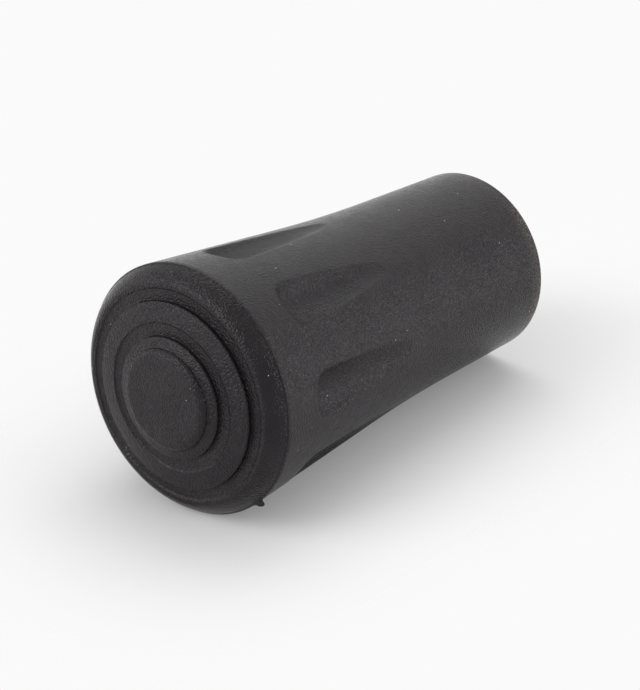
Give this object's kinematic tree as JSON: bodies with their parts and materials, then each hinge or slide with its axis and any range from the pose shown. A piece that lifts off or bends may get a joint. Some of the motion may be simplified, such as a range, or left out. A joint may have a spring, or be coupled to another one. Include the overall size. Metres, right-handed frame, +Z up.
{
  "type": "trekking pole tip",
  "caption": "Fluted rubber foot with a ringed tread that pushes onto the end of a walking pole and grips hard ground.",
  "frame": {"origin": "middle of the foot's disc, on the ground that the tip stands on", "axes": "+Z up the axis from the foot to the mouth of the bore, +X through the middle of one flute"},
  "size_m": [0.025, 0.0255, 0.047],
  "materials": {
    "rubber": "satin black moulded rubber with a fine grain"
  },
  "bodies": {
    "root": {"rubber_tip": "rubber"}
  },
  "joints": []
}
